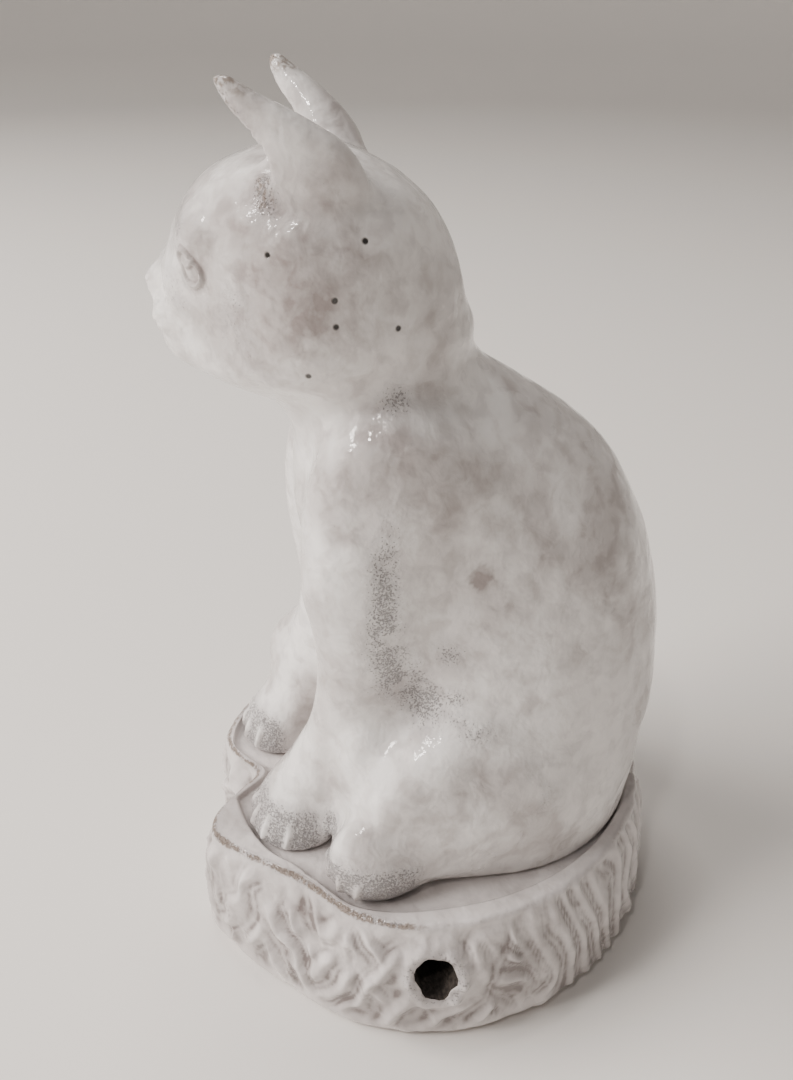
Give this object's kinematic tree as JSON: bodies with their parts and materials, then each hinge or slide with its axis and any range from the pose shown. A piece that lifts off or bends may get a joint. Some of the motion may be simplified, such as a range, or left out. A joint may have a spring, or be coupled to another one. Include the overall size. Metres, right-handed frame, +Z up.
{
  "type": "ceramic cat figurine",
  "caption": "Hollow glazed seated cat that lifts off a hollow, bark-carved stump with a draught hole in its side.",
  "frame": {"origin": "under the middle of the stump, on the surface it stands on", "axes": "+Z up, the cat faces -Y, its own left side is +X"},
  "size_m": [0.151, 0.152, 0.2579],
  "materials": {
    "cat_glaze": "thick glossy cloudy white glaze over grey clay",
    "stump_glaze": "glossy white glaze thinning to lavender grey on carved bark"
  },
  "bodies": {
    "stump": {"stump_wall": "stump_glaze", "stump_deck": "stump_glaze", "stump_floor": "stump_glaze"},
    "cat": {"cat_torso": "cat_glaze", "cat_head": "cat_glaze", "ear_left": "cat_glaze", "ear_right": "cat_glaze", "foreleg_left": "cat_glaze", "foreleg_right": "cat_glaze", "haunch_left": "cat_glaze", "haunch_right": "cat_glaze", "hind_paw_left": "cat_glaze", "hind_paw_right": "cat_glaze", "tail": "cat_glaze"}
  },
  "joints": [
    {"name": "cat_lift", "type": "slide", "parent": "stump", "child": "cat", "axis": [0, 0, 1], "range_m": [0, 0.12]}
  ]
}
